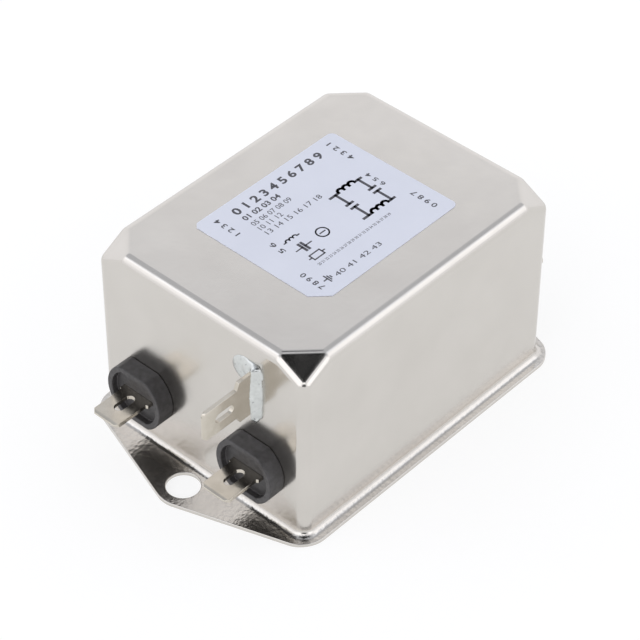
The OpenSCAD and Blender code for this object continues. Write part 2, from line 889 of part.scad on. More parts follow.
x_capacitor(-xcap_offset);  // x_capacitor_line
x_capacitor(0);  // x_capacitor_middle
x_capacitor(xcap_offset);  // x_capacitor_load
y_capacitor(P_SIDE);  // y_capacitor_p
y_capacitor(N_SIDE);  // y_capacitor_n
bleed_resistor();
earth_lead();
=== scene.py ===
import math

import bmesh
import bpy
from mathutils import Matrix, Vector


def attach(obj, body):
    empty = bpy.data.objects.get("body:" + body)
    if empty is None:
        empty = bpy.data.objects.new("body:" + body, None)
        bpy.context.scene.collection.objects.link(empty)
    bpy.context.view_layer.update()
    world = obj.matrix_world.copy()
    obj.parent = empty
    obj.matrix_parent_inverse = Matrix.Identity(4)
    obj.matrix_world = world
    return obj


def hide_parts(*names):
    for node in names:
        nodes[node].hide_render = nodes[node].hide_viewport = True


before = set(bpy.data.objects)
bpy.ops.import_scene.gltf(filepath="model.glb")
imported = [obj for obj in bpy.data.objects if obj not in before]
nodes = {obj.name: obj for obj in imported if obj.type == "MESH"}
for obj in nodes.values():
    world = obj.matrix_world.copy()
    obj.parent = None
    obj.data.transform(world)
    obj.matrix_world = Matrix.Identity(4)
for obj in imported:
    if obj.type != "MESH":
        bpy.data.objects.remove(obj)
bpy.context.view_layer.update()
MM = 0.001

# ---- Camera ----
# A long lens that looks down on the line end and the near side wall.
CAMERA_AT = Vector((-264.376, -239.19, 340.665)) * MM
CAMERA_AIM = Vector((-2.3652, -0.7627, 17.5195)) * MM
CAMERA_ROLL = math.radians(0.26184)
CAMERA_LENS = 149.043

camera_data = bpy.data.cameras.new("camera")
camera_data.lens = CAMERA_LENS
camera_data.sensor_width = 36
camera = bpy.data.objects.new("camera", camera_data)
bpy.context.scene.collection.objects.link(camera)
look = (CAMERA_AIM - CAMERA_AT).to_track_quat("-Z", "Y").to_matrix()
camera.matrix_world = Matrix.Translation(CAMERA_AT) @ (
    look @ Matrix.Rotation(CAMERA_ROLL, 3, "Z")
).to_4x4()
bpy.context.scene.camera = camera
bpy.context.scene.view_settings.view_transform = "Standard"


# ---- Can ----
# Drawn from one sheet of tinned steel: walls, top, a facet pressed across each
# top corner, and a flange with an ear at each end. The terminals' openings are
# punched in its end walls.
CAN_LENGTH = 65
CAN_WIDTH = 49.5
CAN_HEIGHT = 40.4
SHEET = 0.8
CAN_EDGE = 2
FACET_RUN = 7.75
FACET_DROP = 4.1
FLANGE_SIDE = 27
FLANGE_END = 35.35
FLANGE_CORNER = 5.5
FLANGE_BEND = 1.35
EAR_X = 37.5
EAR_RADIUS = 5
EAR_HOLE = 3.15
SHEARED_EDGE = 0.14
ROUND_STEPS = 12


def deselect():
    if bpy.context.object and bpy.context.object.mode != "OBJECT":
        bpy.ops.object.mode_set(mode="OBJECT")
    bpy.ops.object.select_all(action="DESELECT")


def start_piece(name):
    """Names the primitive that was just added and fixes its place in its mesh."""
    piece = bpy.context.object
    piece.name = piece.data.name = name
    bpy.ops.object.transform_apply(location=True, rotation=True, scale=True)
    return piece


def make_box(name, place, span):
    deselect()
    bpy.ops.mesh.primitive_cube_add(size=1, location=place, scale=span)
    return start_piece(name)


def open_piece(piece):
    deselect()
    piece.select_set(True)
    bpy.context.view_layer.objects.active = piece
    bpy.ops.object.mode_set(mode="EDIT")


def close_piece():
    bpy.ops.object.mode_set(mode="OBJECT")


def pick(piece, kind, rule):
    """Selects the piece's vertices, edges or faces that the rule accepts."""
    bpy.ops.mesh.select_mode(type=kind)
    bpy.ops.mesh.select_all(action="DESELECT")
    shape = bmesh.from_edit_mesh(piece.data)
    parts = {"VERT": shape.verts, "EDGE": shape.edges, "FACE": shape.faces}[kind]
    for part in parts:
        if rule(part):
            part.select_set(True)
    shape.select_flush_mode()
    bmesh.update_edit_mesh(piece.data)


def middle(part):
    return sum((v.co for v in part.verts), Vector()) / len(part.verts)


def run(edge):
    return (edge.verts[1].co - edge.verts[0].co).normalized()


def near(a, b, slack=0.01):
    return abs(a - b) < slack


def modify(piece, kind, **settings):
    """Adds a modifier to the piece and applies it."""
    deselect()
    piece.select_set(True)
    bpy.context.view_layer.objects.active = piece
    modifier = piece.modifiers.new(kind.lower(), kind)
    for name, value in settings.items():
        setattr(modifier, name, value)
    bpy.ops.object.modifier_apply(modifier=modifier.name)


def face_out(piece):
    open_piece(piece)
    bpy.ops.mesh.select_all(action="SELECT")
    bpy.ops.mesh.remove_doubles(threshold=0.0005)
    bpy.ops.mesh.normals_make_consistent(inside=False)
    close_piece()


def combine(piece, other, operation):
    face_out(piece)
    face_out(other)
    modify(piece, "BOOLEAN", operation=operation, solver="EXACT", object=other)
    bpy.data.objects.remove(other)


def cut_away(piece, cutter):
    combine(piece, cutter, "DIFFERENCE")


def add_on(piece, other):
    combine(piece, other, "UNION")


def round_edges(piece, width, segments, beyond):
    """Rounds the edges that turn by more than this angle in degrees."""
    modify(
        piece,
        "BEVEL",
        width=width,
        segments=segments,
        limit_method="ANGLE",
        angle_limit=math.radians(beyond),
        use_clamp_overlap=False,
        loop_slide=False,
    )


def finish_piece(piece):
    """Smooths the piece and brings its mesh from millimetres to metres."""
    face_out(piece)
    bpy.ops.object.shade_smooth()
    modify(piece, "WEIGHTED_NORMAL", mode="FACE_AREA", weight=80, keep_sharp=True)
    piece.data.transform(Matrix.Scale(MM, 4))


def join_pieces(pieces):
    deselect()
    for piece in pieces:
        piece.select_set(True)
    bpy.context.view_layer.objects.active = pieces[0]
    bpy.ops.object.join()
    return pieces[0]


# A ball that rolls inside the walls, the top and the facets leaves the same radius
# on every edge. It turns at three places round each facet and at each corner's foot.
facet_normal = Vector((1 / FACET_RUN, 1 / FACET_RUN, 1 / FACET_DROP)).normalized()
tip_setback = CAN_EDGE * (1 - facet_normal.y - facet_normal.z) / facet_normal.x
foot_setback = CAN_EDGE * (1 - facet_normal.x - facet_normal.y) / facet_normal.z
inner_x = CAN_LENGTH / 2 - CAN_EDGE
inner_y = CAN_WIDTH / 2 - CAN_EDGE
inner_z = CAN_HEIGHT - CAN_EDGE
turns = (
    (CAN_LENGTH / 2 - FACET_RUN - tip_setback, inner_y, inner_z),
    (inner_x, CAN_WIDTH / 2 - FACET_RUN - tip_setback, inner_z),
    (inner_x, inner_y, CAN_HEIGHT - FACET_DROP - foot_setback),
    (inner_x, inner_y, 0),
)
balls = []
for side_x in (-1, 1):
    for side_y in (-1, 1):
        for x, y, z in turns:
            deselect()
            bpy.ops.mesh.primitive_uv_sphere_add(
                segments=4 * ROUND_STEPS,
                ring_count=2 * ROUND_STEPS,
                radius=CAN_EDGE,
                location=(side_x * x, side_y * y, z),
            )
            balls.append(start_piece("can"))
can = join_pieces(balls)
open_piece(can)
bpy.ops.mesh.select_all(action="SELECT")
bpy.ops.mesh.convex_hull()
bpy.ops.mesh.select_all(action="SELECT")
bpy.ops.mesh.bisect(
    plane_co=(0, 0, SHEET + FLANGE_BEND), plane_no=(0, 0, -1), clear_outer=True
)


def turn_out(vertex, outward, height):
    """Moves a point of the walls' foot straight out from the wall, and to a height."""
    x, y, _ = vertex.co
    core = Vector((max(-inner_x, min(inner_x, x)), max(-inner_y, min(inner_y, y))))
    vertex.co.xy = core + (vertex.co.xy - core).normalized() * (CAN_EDGE + outward)
    vertex.co.z = height


# The foot of the walls is turned out through a quarter circle
pick(can, "EDGE", lambda e: e.is_boundary)
for step in range(1, ROUND_STEPS + 1):
    turn = math.pi / 2 * step / ROUND_STEPS
    bpy.ops.mesh.extrude_region_move()
    for vertex in bmesh.from_edit_mesh(can.data).verts:
        if vertex.select:
            turn_out(
                vertex,
                FLANGE_BEND * (1 - math.cos(turn)),
                SHEET + FLANGE_BEND * (1 - math.sin(turn)),
            )
    bmesh.update_edit_mesh(can.data)
close_piece()


def fillet_setback(radius, turn):
    """How far a round of this radius reaches from an edge that turns so far."""
    return radius * math.tan(turn / 2)


# The flange's outline: a hexagon whose two end points become the ears
corner = Vector((FLANGE_END - FLANGE_CORNER, FLANGE_SIDE - FLANGE_CORNER))
span = corner - Vector((EAR_X, 0))
flank_angle = math.atan2(span.y, span.x) - math.acos(
    (EAR_RADIUS - FLANGE_CORNER) / span.length
)
flank_reach = EAR_X * math.cos(flank_angle) + EAR_RADIUS
ear_point = flank_reach / math.cos(flank_angle)
side_point = (flank_reach - FLANGE_SIDE * math.sin(flank_angle)) / math.cos(flank_angle)

deselect()
bpy.ops.mesh.primitive_circle_add(
    vertices=6, radius=ear_point, location=(0, 0, SHEET), rotation=(0, 0, math.pi / 2)
)
flange = start_piece("flange")
open_piece(flange)
pick(flange, "VERT", lambda v: abs(v.co.y) > 1)
bpy.ops.transform.resize(
    value=(side_point / (ear_point / 2), FLANGE_SIDE / (ear_point * math.sqrt(0.75)), 1),
    center_override=(0, 0, SHEET),
)
flank_turn = 2 * flank_angle
pick(flange, "VERT", lambda v: abs(v.co.y) < 1)
bpy.ops.mesh.bevel(
    affect="VERTICES",
    offset=fillet_setback(EAR_RADIUS, flank_turn),
    segments=2 * ROUND_STEPS,
    clamp_overlap=False,
)
pick(flange, "VERT", lambda v: near(abs(v.co.y), FLANGE_SIDE))
bpy.ops.mesh.bevel(
    affect="VERTICES",
    offset=fillet_setback(FLANGE_CORNER, math.pi / 2 - flank_angle),
    segments=2 * ROUND_STEPS,
    clamp_overlap=False,
)
close_piece()

# Walls and flange become one sheet
can = join_pieces([can, flange])
open_piece(can)
pick(can, "EDGE", lambda e: e.is_boundary or e.is_wire)
bpy.ops.mesh.fill()
bpy.ops.mesh.select_all(action="SELECT")
bpy.ops.mesh.normals_make_consistent(inside=False)
pick(can, "FACE", lambda f: near(middle(f).z, CAN_HEIGHT) and f.calc_area() > 100)
top_up = all(f.normal.z > 0 for f in bmesh.from_edit_mesh(can.data).faces if f.select)
if not top_up:
    bpy.ops.mesh.select_all(action="SELECT")
    bpy.ops.mesh.flip_normals()
close_piece()
modify(can, "SOLIDIFY", thickness=SHEET, offset=-1, use_quality_normals=True)

# Holes for the screws, and openings for the collars and the earth tab's tongue
COLLAR_Y = 13.5
COLLAR_Z = 12.3
NECK_RADIUS = 5.65
NECK_FLAT = 4.8
NECK_GAP = 0.1
TAB_THICKNESS = 0.8
EARTH_Z = 29.8
TONGUE_HEIGHT = 6.5


def make_flatted(name, radius, flat, span_x, across):
    """A round bar along X at a terminal's place, with a flat above and below."""
    deselect()
    bpy.ops.mesh.primitive_cylinder_add(
        vertices=64,
        radius=radius,
        depth=abs(span_x[1] - span_x[0]),
        location=(sum(span_x) / 2, across, COLLAR_Z),
        rotation=(0, math.pi / 2, 0),
    )
    bar = start_piece(name)
    open_piece(bar)
    for up in (-1, 1):
        bpy.ops.mesh.select_all(action="SELECT")
        bpy.ops.mesh.bisect(
            plane_co=(0, 0, COLLAR_Z + up * flat),
            plane_no=(0, 0, up),
            use_fill=True,
            clear_outer=True,
        )
    close_piece()
    return bar


for end in (-1, 1):
    deselect()
    bpy.ops.mesh.primitive_cylinder_add(
        vertices=96, radius=EAR_HOLE, depth=4 * SHEET, location=(end * EAR_X, 0, 0)
    )
    cut_away(can, start_piece("screw_hole"))
    for side in (-1, 1):
        opening = make_flatted(
            "collar_opening",
            NECK_RADIUS + NECK_GAP,
            NECK_FLAT + NECK_GAP,
            (end * CAN_LENGTH / 2 - 2 * SHEET, end * CAN_LENGTH / 2 + 2 * SHEET),
            side * COLLAR_Y,
        )
        cut_away(can, opening)
tongue_slit = make_box(
    "tongue_slit",
    ((SHEET - CAN_LENGTH) / 2, -COLLAR_Y, EARTH_Z),
    (4 * SHEET, TAB_THICKNESS + 2 * NECK_GAP, TONGUE_HEIGHT + 2 * NECK_GAP),
)
cut_away(can, tongue_slit)


def is_sheared(edge):
    """Edges that a punch or shear left: round the flange, its holes and the openings."""
    if edge.calc_face_angle(0) < math.radians(60):
        return False
    low = all(v.co.z < SHEET + SHEARED_EDGE for v in edge.verts)
    in_wall = all(
        abs(v.co.x) > CAN_LENGTH / 2 - SHEET - SHEARED_EDGE
        and abs(v.co.x) < CAN_LENGTH / 2 + SHEARED_EDGE
        and v.co.z < CAN_HEIGHT - FACET_DROP
        for v in edge.verts
    )
    return low or in_wall


open_piece(can)
pick(can, "EDGE", is_sheared)
bpy.ops.mesh.bevel(
    affect="EDGES", offset=SHEARED_EDGE, segments=3, loop_slide=False, clamp_overlap=False
)
close_piece()
finish_piece(can)


def new_material(name):
    """A new material with its nodes, its shader and the piece's own coordinates."""
    material = bpy.data.materials.new(name)
    material.use_nodes = True
    tree = material.node_tree
    shader = tree.nodes["Principled BSDF"]
    place = tree.nodes.new("ShaderNodeTexCoord")
    return material, tree, shader, place.outputs["Object"]


def noise(tree, place, scale, detail=3, stretch=(1, 1, 1)):
    """A cloudy pattern. The scale is per metre, so 1000 makes it about 1 mm coarse."""
    mapping = tree.nodes.new("ShaderNodeMapping")
    mapping.inputs["Scale"].default_value = stretch
    tree.links.new(place, mapping.inputs["Vector"])
    texture = tree.nodes.new("ShaderNodeTexNoise")
    texture.inputs["Scale"].default_value = scale
    texture.inputs["Detail"].default_value = detail
    tree.links.new(mapping.outputs["Vector"], texture.inputs["Vector"])
    return texture.outputs["Fac"]


def spread(tree, value, low, high, between=(0.3, 0.7)):
    """Turns a noise into a number that wanders between low and high."""
    fit = tree.nodes.new("ShaderNodeMapRange")
    fit.inputs["From Min"].default_value = between[0]
    fit.inputs["From Max"].default_value = between[1]
    fit.inputs["To Min"].default_value = low
    fit.inputs["To Max"].default_value = high
    tree.links.new(value, fit.inputs["Value"])
    return fit.outputs["Result"]


def blend_colours(tree, value, *colours):
    """Colours along a ramp, each given as (position, (red, green, blue))."""
    ramp = tree.nodes.new("ShaderNodeValToRGB")
    ramp.color_ramp.elements[0].position = colours[0][0]
    ramp.color_ramp.elements[0].color = (*colours[0][1], 1)
    ramp.color_ramp.elements[1].position = colours[-1][0]
    ramp.color_ramp.elements[1].color = (*colours[-1][1], 1)
    for position, colour in colours[1:-1]:
        ramp.color_ramp.elements.new(position).color = (*colour, 1)
    tree.links.new(value, ramp.inputs["Fac"])
    return ramp.outputs["Color"]


def bump(tree, shader, height, distance, over=None):
    """Lifts the surface by a pattern, on top of the bump that it's given to go over."""
    node = tree.nodes.new("ShaderNodeBump")
    node.inputs["Distance"].default_value = distance
    tree.links.new(height, node.inputs["Height"])
    if over is not None:
        tree.links.new(over, node.inputs["Normal"])
    tree.links.new(node.outputs["Normal"], shader.inputs["Normal"])
    return node.outputs["Normal"]


def dress(piece, material):
    piece.data.materials.clear()
    piece.data.materials.append(material)


def join_values(tree, operation, first, second):
    node = tree.nodes.new("ShaderNodeMath")
    node.operation = operation
    tree.links.new(first, node.inputs[0])
    tree.links.new(second, node.inputs[1])
    return node.outputs["Value"]


def make_finish(name, dark, light, grain, rough, relief, metallic=0):
    """A colour that wanders between two, with uneven gloss and a fine relief.

    Grain and the relief's first number are the scale of their noise, and the
    relief's second number is its depth in millimetres.
    """
    material, tree, shader, place = new_material(name)
    shader.inputs["Metallic"].default_value = metallic
    tree.links.new(
        blend_colours(tree, noise(tree, place, grain, detail=4), (0.3, dark), (0.7, light)),
        shader.inputs["Base Color"],
    )
    tree.links.new(
        spread(tree, noise(tree, place, 1.7 * grain, detail=4), *rough),
        shader.inputs["Roughness"],
    )
    texture = noise(tree, place, relief[0], detail=2)
    bump(tree, shader, texture, relief[1] * MM)
    return material


# Tinned steel: a warm, satin mirror, drawn in faint upright streaks on the walls
tinned_steel, tree, shader, place = new_material("tinned_steel")
shader.inputs["Metallic"].default_value = 1
tree.links.new(
    blend_colours(
        tree,
        noise(tree, place, 90, detail=4),
        (0.3, (0.600, 0.575, 0.540)),
        (0.7, (0.630, 0.605, 0.570)),
    ),
    shader.inputs["Base Color"],
)
tree.links.new(
    spread(tree, noise(tree, place, 160, detail=5), 0.16, 0.24), shader.inputs["Roughness"]
)
waves = bump(tree, shader, noise(tree, place, 70, detail=1), 0.02 * MM)
waves = bump(tree, shader, noise(tree, place, 900, detail=2), 0.006 * MM, over=waves)
# The press has roughened the flange, but not the walls above its bend
height = tree.nodes.new("ShaderNodeSeparateXYZ")
tree.links.new(place, height.inputs["Vector"])
worked = spread(tree, height.outputs["Z"], 1, 0, between=(1.2 * MM, 2.6 * MM))
grain = join_values(tree, "MULTIPLY", noise(tree, place, 1300, detail=4), worked)
waves = bump(tree, shader, grain, 0.06 * MM, over=waves)
streaks = noise(tree, place, 1500, detail=2, stretch=(1, 1, 0.08))
bump(tree, shader, streaks, 0.002 * MM, over=waves)
dress(can, tinned_steel)
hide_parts("case")
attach(can, "root")


# ---- Collars ----
# Moulded in black plastic: a flatted ring with a shallow recess outside the
# wall, and a neck with catches that snaps into the wall's opening.
COLLAR_RADIUS = 6.55
COLLAR_FLAT = 5.7
COLLAR_DEPTH = 3.5
COLLAR_RIM = 1.15
COLLAR_ROUND = 0.22
COLLAR_FLOOR = COLLAR_DEPTH - 1.3
NECK_LENGTH = 1.6
CATCH_HEIGHT = 0.5
ROOT_WIDTH = 7.1
SLOT_GAP = 0.05
WALL_X = -CAN_LENGTH / 2

collar = make_flatted(
    "collar_line_p_moulding",
    COLLAR_RADIUS,
    COLLAR_FLAT,
    (WALL_X - COLLAR_DEPTH, WALL_X),
    COLLAR_Y,
)
neck = make_flatted(
    "neck",
    NECK_RADIUS,
    NECK_FLAT,
    (WALL_X - COLLAR_FLOOR / 2, WALL_X + SHEET + NECK_LENGTH),
    COLLAR_Y,
)
add_on(collar, neck)
recess = make_flatted(
    "recess",
    COLLAR_RADIUS - COLLAR_RIM,
    COLLAR_FLAT - COLLAR_RIM,
    (WALL_X - 2 * COLLAR_DEPTH, WALL_X - COLLAR_FLOOR),
    COLLAR_Y,
)
cut_away(collar, recess)
round_edges(collar, COLLAR_ROUND, segments=4, beyond=25)
blade_slot = make_box(
    "blade_slot",
    (WALL_X, COLLAR_Y, COLLAR_Z),
    (4 * COLLAR_DEPTH, ROOT_WIDTH + 2 * SLOT_GAP, TAB_THICKNESS + 2 * SLOT_GAP),
)
cut_away(collar, blade_slot)

# A catch above and below the neck, each a wedge behind the wall
for up in (-1, 1):
    catch = make_box(
        "catch",
        (
            WALL_X + SHEET + NECK_LENGTH / 2 + NECK_GAP / 2,
            COLLAR_Y,
            COLLAR_Z + up * (NECK_FLAT + (CATCH_HEIGHT + NECK_GAP) / 2 - SLOT_GAP),
        ),
        (NECK_LENGTH - NECK_GAP, NECK_RADIUS, CATCH_HEIGHT + NECK_GAP),
    )
    open_piece(catch)
    pick(
        catch,
        "EDGE",
        lambda e: all(
            v.co.x > WALL_X + SHEET + NECK_LENGTH / 2
            and abs(v.co.z - COLLAR_Z) > NECK_FLAT + CATCH_HEIGHT / 2
            for v in e.verts
        ),
    )
    bpy.ops.transform.translate(value=(0, 0, -up * CATCH_HEIGHT))
    close_piece()
    add_on(collar, catch)

black_plastic = make_finish(
    "black_plastic",
    (0.032, 0.030, 0.030),
    (0.056, 0.053, 0.055),
    grain=900,
    rough=(0.40, 0.58),
    relief=(3200, 0.012),
)


def copy_piece(piece, name):
    twin = piece.copy()
    twin.data = piece.data.copy()
    twin.name = twin.data.name = name
    bpy.context.scene.collection.objects.link(twin)
    return twin


def place_terminals(piece, kind, suffix):
    """Copies the line P terminal's piece to the other three, and finishes all four."""
    pieces = {"line_p": piece}
    for name, _, _ in terminals[1:]:
        pieces[name] = copy_piece(piece, f"{kind}_{name}_{suffix}")
    for name, way_x, way_y in terminals:
        open_piece(pieces[name])
        bpy.ops.mesh.select_all(action="SELECT")
        bpy.ops.transform.resize(value=(way_x, way_y, 1), center_override=(0, 0, 0))
        close_piece()
        finish_piece(pieces[name])
        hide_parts(f"{kind}_{name}")
        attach(pieces[name], "root")


dress(collar, black_plastic)
terminals = (("line_p", 1, 1), ("line_n", 1, -1), ("load_p", -1, 1), ("load_n", -1, -1))
place_terminals(collar, "collar", "moulding")


# ---- Blades ----
# Stamped from tinned brass strip: a coined tip, an oblong hole and a wider
# root in the collar. Inside the can the strip turns down to a pin in the board.
BLADE_WIDTH = 6.3
BLADE_REACH = 10.75
BLADE_SHOULDER = 3.3
BLADE_SLANT = 0.2
TIP_BEVEL = 0.65
TIP_EDGE = 0.35
TIP_CORNER = 0.7
HOLE_LENGTH = 4.4
HOLE_WIDTH = 1.9
HOLE_SETBACK = 5.1
TAIL_TURN = 0.6
TAIL_FACE = 4
TAIL_PIN = 2
TAIL_SLOPE = 1
BOARD_TOP = 6.6
PIN_FOOT = 3.6
STAMPED_EDGE = 0.07


def make_tab(name, reach, shoulder, slant, root, length):
    """A flat tab along +X from its tip, which ends up at x = -reach.

    The shoulders stand at x = -shoulder and the root runs on to x = length.
    """
    deselect()
    bpy.ops.mesh.primitive_plane_add(size=1)
    tab = start_piece(name)
    open_piece(tab)
    bpy.ops.mesh.select_all(action="SELECT")
    blade = reach - shoulder - slant
    bpy.ops.transform.resize(value=(blade, BLADE_WIDTH, 1), center_override=(0, 0, 0))
    bpy.ops.transform.translate(value=(blade / 2 - reach, 0, 0))
    for step_x, widen in ((slant, root / BLADE_WIDTH), (shoulder + length, 1)):
        end_x = max(v.co.x for v in bmesh.from_edit_mesh(tab.data).verts)
        pick(tab, "EDGE", lambda e: all(near(v.co.x, end_x) for v in e.verts))
        bpy.ops.mesh.extrude_region_move(TRANSFORM_OT_translate={"value": (step_x, 0, 0)})
        bpy.ops.transform.resize(value=(1, widen, 1), center_override=(0, 0, 0))
    pick(tab, "VERT", lambda v: near(v.co.x, -reach))
    bpy.ops.mesh.bevel(affect="VERTICES", offset=TIP_CORNER, segments=1)
    bpy.ops.mesh.select_all(action="SELECT")
    bpy.ops.mesh.normals_make_consistent(inside=False)
    close_piece()
    modify(tab, "SOLIDIFY", thickness=TAB_THICKNESS, offset=0)
    open_piece(tab)
    for up in (-1, 1):
        bpy.ops.mesh.select_all(action="SELECT")
        bpy.ops.mesh.bisect(
            plane_co=(-reach, 0, up * TIP_EDGE / 2),
            plane_no=((TIP_EDGE - TAB_THICKNESS) / 2, 0, up * TIP_BEVEL),
            use_fill=True,
            clear_outer=True,
        )
    close_piece()
    hole = make_box(
        "oblong_hole",
        (HOLE_SETBACK - reach, 0, 0),
        (HOLE_LENGTH, HOLE_WIDTH, 4 * TAB_THICKNESS),
    )
    open_piece(hole)
    pick(hole, "EDGE", lambda e: abs(run(e).z) > 0.999)
    bpy.ops.mesh.bevel(
        affect="EDGES", offset=0.4999 * HOLE_WIDTH, segments=12, clamp_overlap=False
    )
    close_piece()
    cut_away(tab, hole)
    return tab


blade = make_tab(
    "blade_line_p_strip",
    BLADE_REACH,
    BLADE_SHOULDER,
    BLADE_SLANT,
    ROOT_WIDTH,
    TAIL_FACE - TAB_THICKNESS - TAIL_TURN,
)
open_piece(blade)
end_x = max(v.co.x for v in bmesh.from_edit_mesh(blade.data).verts)
pick(blade, "FACE", lambda f: f.normal.x > 0.999 and near(middle(f).x, end_x))
tail_z = -TAB_THICKNESS / 2 - TAIL_TURN
bpy.ops.mesh.spin(
    steps=8, angle=math.pi / 2, center=(end_x, 0, tail_z), axis=(0, -1, 0)
)
if max(v.co.x for v in bmesh.from_edit_mesh(blade.data).verts) < end_x + TAIL_TURN:
    raise SystemExit("the blade's tail turned the wrong way")
bpy.ops.mesh.extrude_region_move(
    TRANSFORM_OT_translate={"value": (0, 0, BOARD_TOP + TAIL_SLOPE - COLLAR_Z - tail_z)}
)
bpy.ops.mesh.extrude_region_move(TRANSFORM_OT_translate={"value": (0, 0, -TAIL_SLOPE)})
bpy.ops.transform.resize(value=(1, TAIL_PIN / ROOT_WIDTH, 1), center_override=(0, 0, 0))
bpy.ops.mesh.extrude_region_move(
    TRANSFORM_OT_translate={"value": (0, 0, PIN_FOOT - BOARD_TOP)}
)
bpy.ops.mesh.select_all(action="SELECT")
bpy.ops.mesh.remove_doubles(threshold=0.001)
bpy.ops.mesh.normals_make_consistent(inside=False)
bpy.ops.transform.translate(value=(WALL_X, COLLAR_Y, COLLAR_Z))
close_piece()
round_edges(blade, STAMPED_EDGE, segments=2, beyond=50)

tinned_brass = make_finish(
    "tinned_brass",
    (0.54, 0.50, 0.43),
    (0.63, 0.59, 0.52),
    grain=250,
    rough=(0.13, 0.24),
    relief=(900, 0.004),
    metallic=1,
)
dress(blade, tinned_brass)
place_terminals(blade, "blade", "strip")


# ---- Earth tab ----
# The same kind of tab on edge, with a tall root that stands on the end wall
# and a tongue through a slit in it.
EARTH_REACH = 13
EARTH_SHOULDER = 4.3
EARTH_SLANT = 0.6
EARTH_ROOT = 9.1
TONGUE_LENGTH = 2

earth = make_tab(
    "earth_tab_strip", EARTH_REACH, EARTH_SHOULDER, EARTH_SLANT, EARTH_ROOT, 0
)
open_piece(earth)
pick(earth, "FACE", lambda f: f.normal.x > 0.999 and near(middle(f).x, 0))
bpy.ops.mesh.extrude_region_move(TRANSFORM_OT_translate={"value": (0.01, 0, 0)})
bpy.ops.transform.resize(value=(1, TONGUE_HEIGHT / EARTH_ROOT, 1), center_override=(0, 0, 0))
bpy.ops.mesh.extrude_region_move(
    TRANSFORM_OT_translate={"value": (SHEET + TONGUE_LENGTH, 0, 0)}
)
bpy.ops.mesh.select_all(action="SELECT")
bpy.ops.transform.rotate(value=math.pi / 2, orient_axis="X", center_override=(0, 0, 0))
bpy.ops.transform.translate(value=(WALL_X, -COLLAR_Y, EARTH_Z))
close_piece()
round_edges(earth, STAMPED_EDGE, segments=2, beyond=50)
finish_piece(earth)
dress(earth, tinned_brass)
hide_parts("earth_tab")
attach(earth, "root")


# ---- Solder ----
# Tin solder, run in by hand round the earth tab's root. It fastens the tab to the
# wall: a long fillet in the corner, a wide pool at the top and a bead at the foot.
SOLDER_VOXEL = 0.14
FILLET_OUT = 2.15
FILLET_ACROSS = 1.5
FILLET_FOOT = 23.7
FILLET_MIDDLE = 29.2
FILLET_HEAD = 35.1

# The fillet is two tapered bars in the corner between the wall and the tab. Then
# come the pool, its thicker middle, a cap over the tab's top and the foot's bead.
solder_parts = []
for foot, head, foot_width, head_width in (
    (FILLET_FOOT, FILLET_MIDDLE, 0.80, 1),
    (FILLET_MIDDLE, FILLET_HEAD, 1, 0.74),
):
    deselect()
    bpy.ops.mesh.primitive_cone_add(
        vertices=4,
        radius1=foot_width,
        radius2=head_width,
        depth=head - foot + SOLDER_VOXEL,
        location=(WALL_X, -TAB_THICKNESS / 2 - COLLAR_Y, (foot + head) / 2),
        scale=(FILLET_OUT, FILLET_ACROSS, 1),
    )
    solder_parts.append(start_piece("bar"))
for (out, across, height), half in (
    # place: out from the wall, across from the tab, height; half sizes
    ((0.0, 2.2, 33.0), (0.45, 3.2, 2.9)),
    ((0.0, 0.6, 33.6), (0.75, 2.6, 2.2)),
    ((0.2, -0.3, 34.8), (0.85, 1.15, 0.80)),
    ((0.5, -0.55, 23.5), (0.75, 0.65, 0.70)),
):
    deselect()
    bpy.ops.mesh.primitive_uv_sphere_add(
        segments=32,
        ring_count=16,
        radius=1,
        location=(WALL_X - out, across - COLLAR_Y, height),
        scale=half,
    )
    solder_parts.append(start_piece("bead"))
solder = join_pieces(solder_parts)
solder.name = solder.data.name = "earth_solder_run"
modify(solder, "REMESH", mode="VOXEL", voxel_size=SOLDER_VOXEL)
modify(solder, "SMOOTH", factor=0.6, iterations=24)
open_piece(solder)
bpy.ops.mesh.select_all(action="SELECT")
bpy.ops.mesh.bisect(
    plane_co=(WALL_X, 0, 0), plane_no=(1, 0, 0), use_fill=True, clear_outer=True
)
close_piece()
finish_piece(solder)

# Dull where the flux has dried, with a few dark patches in its colour that are painted shade
# and painted dark reflection
solder_tin, tree, shader, place = new_material("solder_tin")
shader.inputs["Metallic"].default_value = 1
tree.links.new(
    blend_colours(
        tree,
        noise(tree, place, 1500, detail=2),
        # the darkest colour paints the patches of shade and dark reflection
        (0.26, (0.30, 0.31, 0.32)),
        (0.33, (0.60, 0.62, 0.61)),
        (0.70, (0.67, 0.69, 0.68)),
    ),
    shader.inputs["Base Color"],
)
tree.links.new(
    spread(tree, noise(tree, place, 500, detail=3), 0.22, 0.5), shader.inputs["Roughness"]
)
bump(tree, shader, noise(tree, place, 700, detail=2), 0.03 * MM)
dress(solder, solder_tin)
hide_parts("earth_solder")
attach(solder, "root")


# ---- Circuit board ----
# Phenolic paper laminate that carries the chokes and capacitors. It goes into the
# can from below, and the blades' pins are soldered to it.
board_laminate = make_finish(
    "board_laminate",
    (0.42, 0.27, 0.12),
    (0.52, 0.35, 0.17),
    grain=400,
    rough=(0.38, 0.50),
    relief=(1500, 0.01),
)
dress(nodes["circuit_board"], board_laminate)


